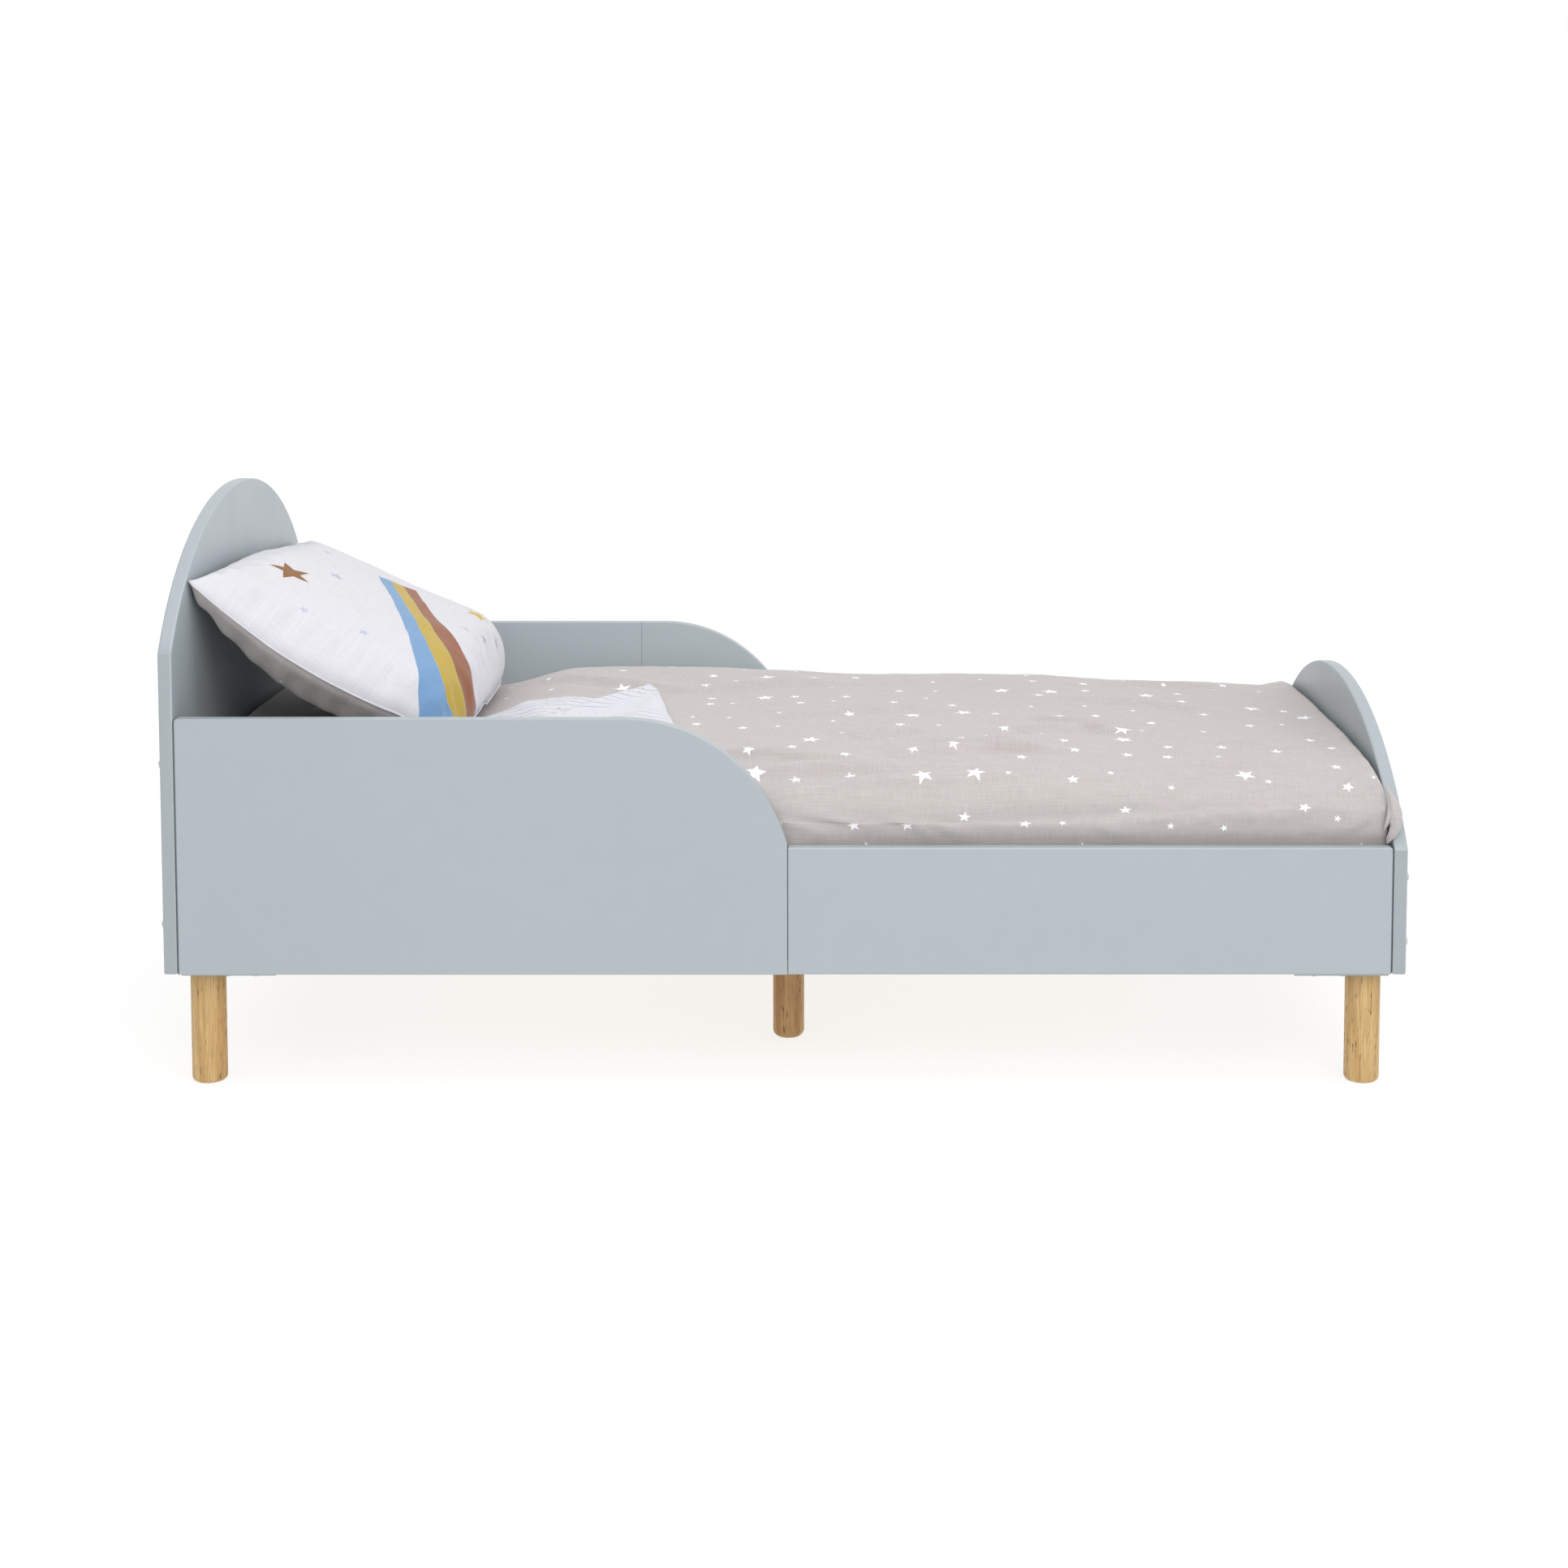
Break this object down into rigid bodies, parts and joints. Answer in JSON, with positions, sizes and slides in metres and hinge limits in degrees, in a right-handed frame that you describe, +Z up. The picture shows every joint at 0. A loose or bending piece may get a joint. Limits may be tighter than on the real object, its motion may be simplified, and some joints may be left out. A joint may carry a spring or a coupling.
{
  "type": "toddler bed",
  "caption": "Low toddler bed with arched head and foot boards, curved guard panels at the head half, low side rails, round legs, slats, mattress, duvet and pillow.",
  "frame": {"origin": "on the floor under the middle of the bed", "axes": "+X from the head end to the foot end, +Y to the back side, +Z up; the front side is -Y"},
  "size_m": [1.4444, 0.742, 0.678],
  "materials": {
    "painted_board": "satin grey-blue paint on fine board, edges eased",
    "leg_wood": "clear matt lacquer on straight-grained light oak",
    "slat_wood": "planed unfinished pine",
    "zinc_steel": "zinc plated, satin",
    "mattress_ticking": "woven cotton ticking with piped edges",
    "duvet_linen": "slub linen weave, taupe, printed with plain white five-pointed stars",
    "pillow_cotton": "fine white cotton with a plain pale print"
  },
  "bodies": {
    "frame": {"barrel_nut_foot_back_lower": "zinc_steel", "barrel_nut_foot_back_upper": "zinc_steel", "barrel_nut_foot_front_lower": "zinc_steel", "barrel_nut_foot_front_upper": "zinc_steel", "barrel_nut_head_back_lower": "zinc_steel", "barrel_nut_head_back_upper": "zinc_steel", "barrel_nut_head_front_lower": "zinc_steel", "barrel_nut_head_front_upper": "zinc_steel", "block_screw_back_foot_1": "zinc_steel", "block_screw_back_foot_2": "zinc_steel", "block_screw_back_head_1": "zinc_steel", "block_screw_back_head_2": "zinc_steel", "block_screw_front_foot_1": "zinc_steel", "block_screw_front_foot_2": "zinc_steel", "block_screw_front_head_1": "zinc_steel", "block_screw_front_head_2": "zinc_steel", "bolt_foot_back_lower": "zinc_steel", "bolt_foot_back_upper": "zinc_steel", "bolt_foot_front_lower": "zinc_steel", "bolt_foot_front_upper": "zinc_steel", "bolt_head_back_lower": "zinc_steel", "bolt_head_back_upper": "zinc_steel", "bolt_head_front_lower": "zinc_steel", "bolt_head_front_upper": "zinc_steel", "centre_crossbeam": "slat_wood", "corner_block_back_foot": "painted_board", "corner_block_back_head": "painted_board", "corner_block_front_foot": "painted_board", "corner_block_front_head": "painted_board", "footboard": "painted_board", "headboard": "painted_board", "leg_back_foot": "leg_wood", "leg_back_head": "leg_wood", "leg_centre_back": "leg_wood", "leg_centre_front": "leg_wood", "leg_front_foot": "leg_wood", "leg_front_head": "leg_wood", "side_guard_back": "painted_board", "side_guard_front": "painted_board", "side_rail_back": "painted_board", "side_rail_front": "painted_board", "slat_01": "slat_wood", "slat_02": "slat_wood", "slat_03": "slat_wood", "slat_04": "slat_wood", "slat_05": "slat_wood", "slat_06": "slat_wood", "slat_07": "slat_wood", "slat_08": "slat_wood", "slat_09": "slat_wood", "slat_10": "slat_wood", "slat_ledge_back": "slat_wood", "slat_ledge_front": "slat_wood"},
    "mattress": {"mattress": "mattress_ticking"},
    "duvet": {"duvet": "duvet_linen"},
    "pillow": {"pillow": "pillow_cotton"}
  },
  "joints": [
    {"name": "mattress_lift", "type": "slide", "parent": "frame", "child": "mattress", "axis": [0, 0, 1], "range_m": [0, 0.46]},
    {"name": "duvet_lift", "type": "slide", "parent": "mattress", "child": "duvet", "axis": [0, 0, 1], "range_m": [0, 0.45]},
    {"name": "pillow_lift", "type": "slide", "parent": "duvet", "child": "pillow", "axis": [0, 0, 1], "range_m": [0, 0.32]}
  ]
}
